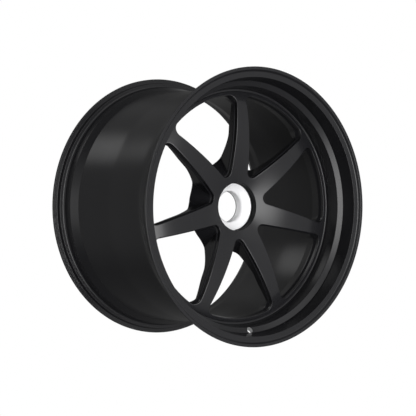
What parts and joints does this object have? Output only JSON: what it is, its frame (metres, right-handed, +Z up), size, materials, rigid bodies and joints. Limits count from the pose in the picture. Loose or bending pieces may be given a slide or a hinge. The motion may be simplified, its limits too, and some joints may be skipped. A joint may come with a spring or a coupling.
{
  "type": "forged centre-lock racing wheel rim",
  "caption": "Deep-dish forged racing wheel rim with slim bowed spokes, stepped outer lip, centre-lock seat insert and drive-pin bushes in the rear pad.",
  "frame": {"origin": "centre of the rim's width on the wheel's axis, which is the centre of its bounding box", "axes": "wheel axis along Y with the outboard (street) side facing -Y and the mounting pad facing +Y, +Z up, one spoke pointing up and the valve hole at the bottom"},
  "size_m": [0.497, 0.306, 0.497],
  "materials": {
    "black_coating": "satin black powder coat over forged aluminium",
    "seat_silver": "fine turned, silver anodised",
    "ring_steel": "phosphated black spring steel",
    "bush_steel": "hardened and ground steel",
    "o_ring_rubber": "moulded nitrile rubber"
  },
  "bodies": {
    "root": {"wheel_body": "black_coating", "seat_insert": "seat_silver", "seat_ring": "ring_steel", "seat_o_ring": "o_ring_rubber", "seat_dowel_1": "bush_steel", "seat_dowel_2": "bush_steel", "seat_dowel_3": "bush_steel", "drive_bush_1": "bush_steel", "drive_bush_2": "bush_steel", "drive_bush_3": "bush_steel", "drive_bush_4": "bush_steel", "drive_bush_5": "bush_steel", "drive_bush_ring_1": "ring_steel", "drive_bush_ring_2": "ring_steel", "drive_bush_ring_3": "ring_steel", "drive_bush_ring_4": "ring_steel", "drive_bush_ring_5": "ring_steel"}
  },
  "joints": []
}
